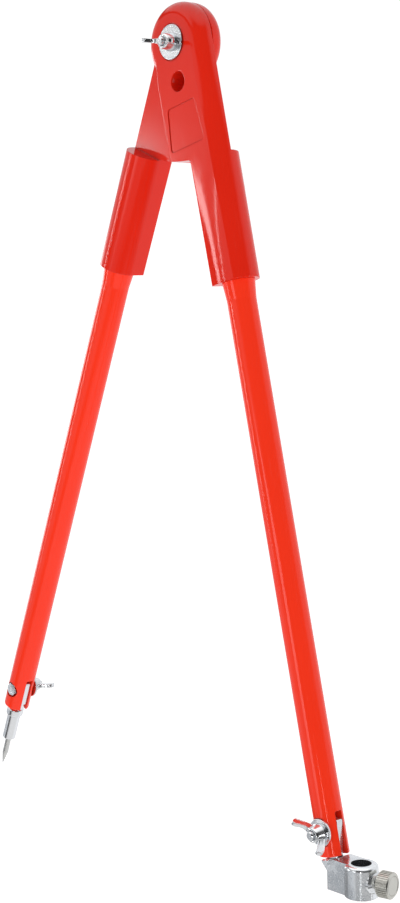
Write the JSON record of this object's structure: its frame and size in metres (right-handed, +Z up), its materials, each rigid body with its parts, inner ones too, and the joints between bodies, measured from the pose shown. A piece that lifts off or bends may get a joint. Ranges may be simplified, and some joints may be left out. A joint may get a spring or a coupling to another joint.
{
  "type": "beam compass",
  "caption": "Large folding layout compass: two red legs on a wing-nut pivot, one foot with a marker clamp, the other with a steel point, each foot hinged in a forked leg end.",
  "frame": {"origin": "centre of the hanging hole of the front hinge half, at that half's inner meeting face", "axes": "+Z up between the open legs, +X towards the marker leg, -Y out of the face that carries the pivot wing nut; all hinges of the compass turn about lines parallel to Y"},
  "size_m": [0.4367, 0.0538, 0.6168],
  "materials": {
    "hinge_red": "glossy red moulded ABS",
    "leg_red": "glossy red moulded ABS",
    "bolt_zinc": "bright zinc plate",
    "washer_zinc": "bright zinc plate",
    "wing_nut_zinc": "bright plated casting",
    "marker_holder_chrome": "bright plated die casting, slightly grainy",
    "thumb_screw_chrome": "bright plate",
    "thumb_knob_nickel": "dull nickel, knurled rim",
    "point_holder_chrome": "bright plate",
    "point_steel": "ground hardened steel"
  },
  "bodies": {
    "marker_side": {"front_hinge_half": "hinge_red", "marker_leg": "leg_red", "pivot_washer": "washer_zinc", "marker_clamp_bolt": "bolt_zinc", "marker_clamp_washer": "washer_zinc"},
    "point_side": {"rear_hinge_half": "hinge_red", "point_leg": "leg_red", "pivot_bolt": "bolt_zinc", "point_clamp_bolt": "bolt_zinc", "point_clamp_washer": "washer_zinc"},
    "pivot_nut": {"pivot_wing_nut": "wing_nut_zinc"},
    "marker_foot": {"marker_holder": "marker_holder_chrome"},
    "thumb_screw": {"marker_thumb_screw": "thumb_screw_chrome", "marker_thumb_knob": "thumb_knob_nickel"},
    "marker_clamp_nut": {"marker_clamp_wing_nut": "wing_nut_zinc"},
    "point_foot": {"point_holder": "point_holder_chrome", "steel_point": "point_steel"},
    "point_clamp_nut": {"point_clamp_wing_nut": "wing_nut_zinc"}
  },
  "joints": [
    {"name": "leg_spread", "type": "hinge", "parent": "marker_side", "child": "point_side", "pos_m": [-0.00854, 0.0002, 0.02667], "axis": [0, 1, 0], "range_deg": [-33.11, 144.5]},
    {"name": "pivot_nut_turn", "type": "hinge", "parent": "point_side", "child": "pivot_nut", "pos_m": [-0.00854, 0.0002, 0.02667], "axis": [0, -1, 0], "continuous": true},
    {"name": "marker_foot_tilt", "type": "hinge", "parent": "marker_side", "child": "marker_foot", "pos_m": [0.17046, 0.0002, -0.48922], "axis": [0, 1, 0], "range_deg": [-86.75, 78.25]},
    {"name": "marker_clamp_nut_turn", "type": "hinge", "parent": "marker_side", "child": "marker_clamp_nut", "pos_m": [0.17046, 0.0002, -0.48922], "axis": [0, -1, 0], "continuous": true},
    {"name": "thumb_screw_turn", "type": "hinge", "parent": "marker_foot", "child": "thumb_screw", "pos_m": [0.21214, 0.00269, -0.51229], "axis": [-0.9728, -0.2079, -0.1022], "continuous": true},
    {"name": "point_foot_tilt", "type": "hinge", "parent": "point_side", "child": "point_foot", "pos_m": [-0.18753, 0.0002, -0.48922], "axis": [0, -1, 0], "range_deg": [-90, 90]},
    {"name": "point_clamp_nut_turn", "type": "hinge", "parent": "point_side", "child": "point_clamp_nut", "pos_m": [-0.18753, 0.0002, -0.48922], "axis": [0, 1, 0], "continuous": true}
  ]
}
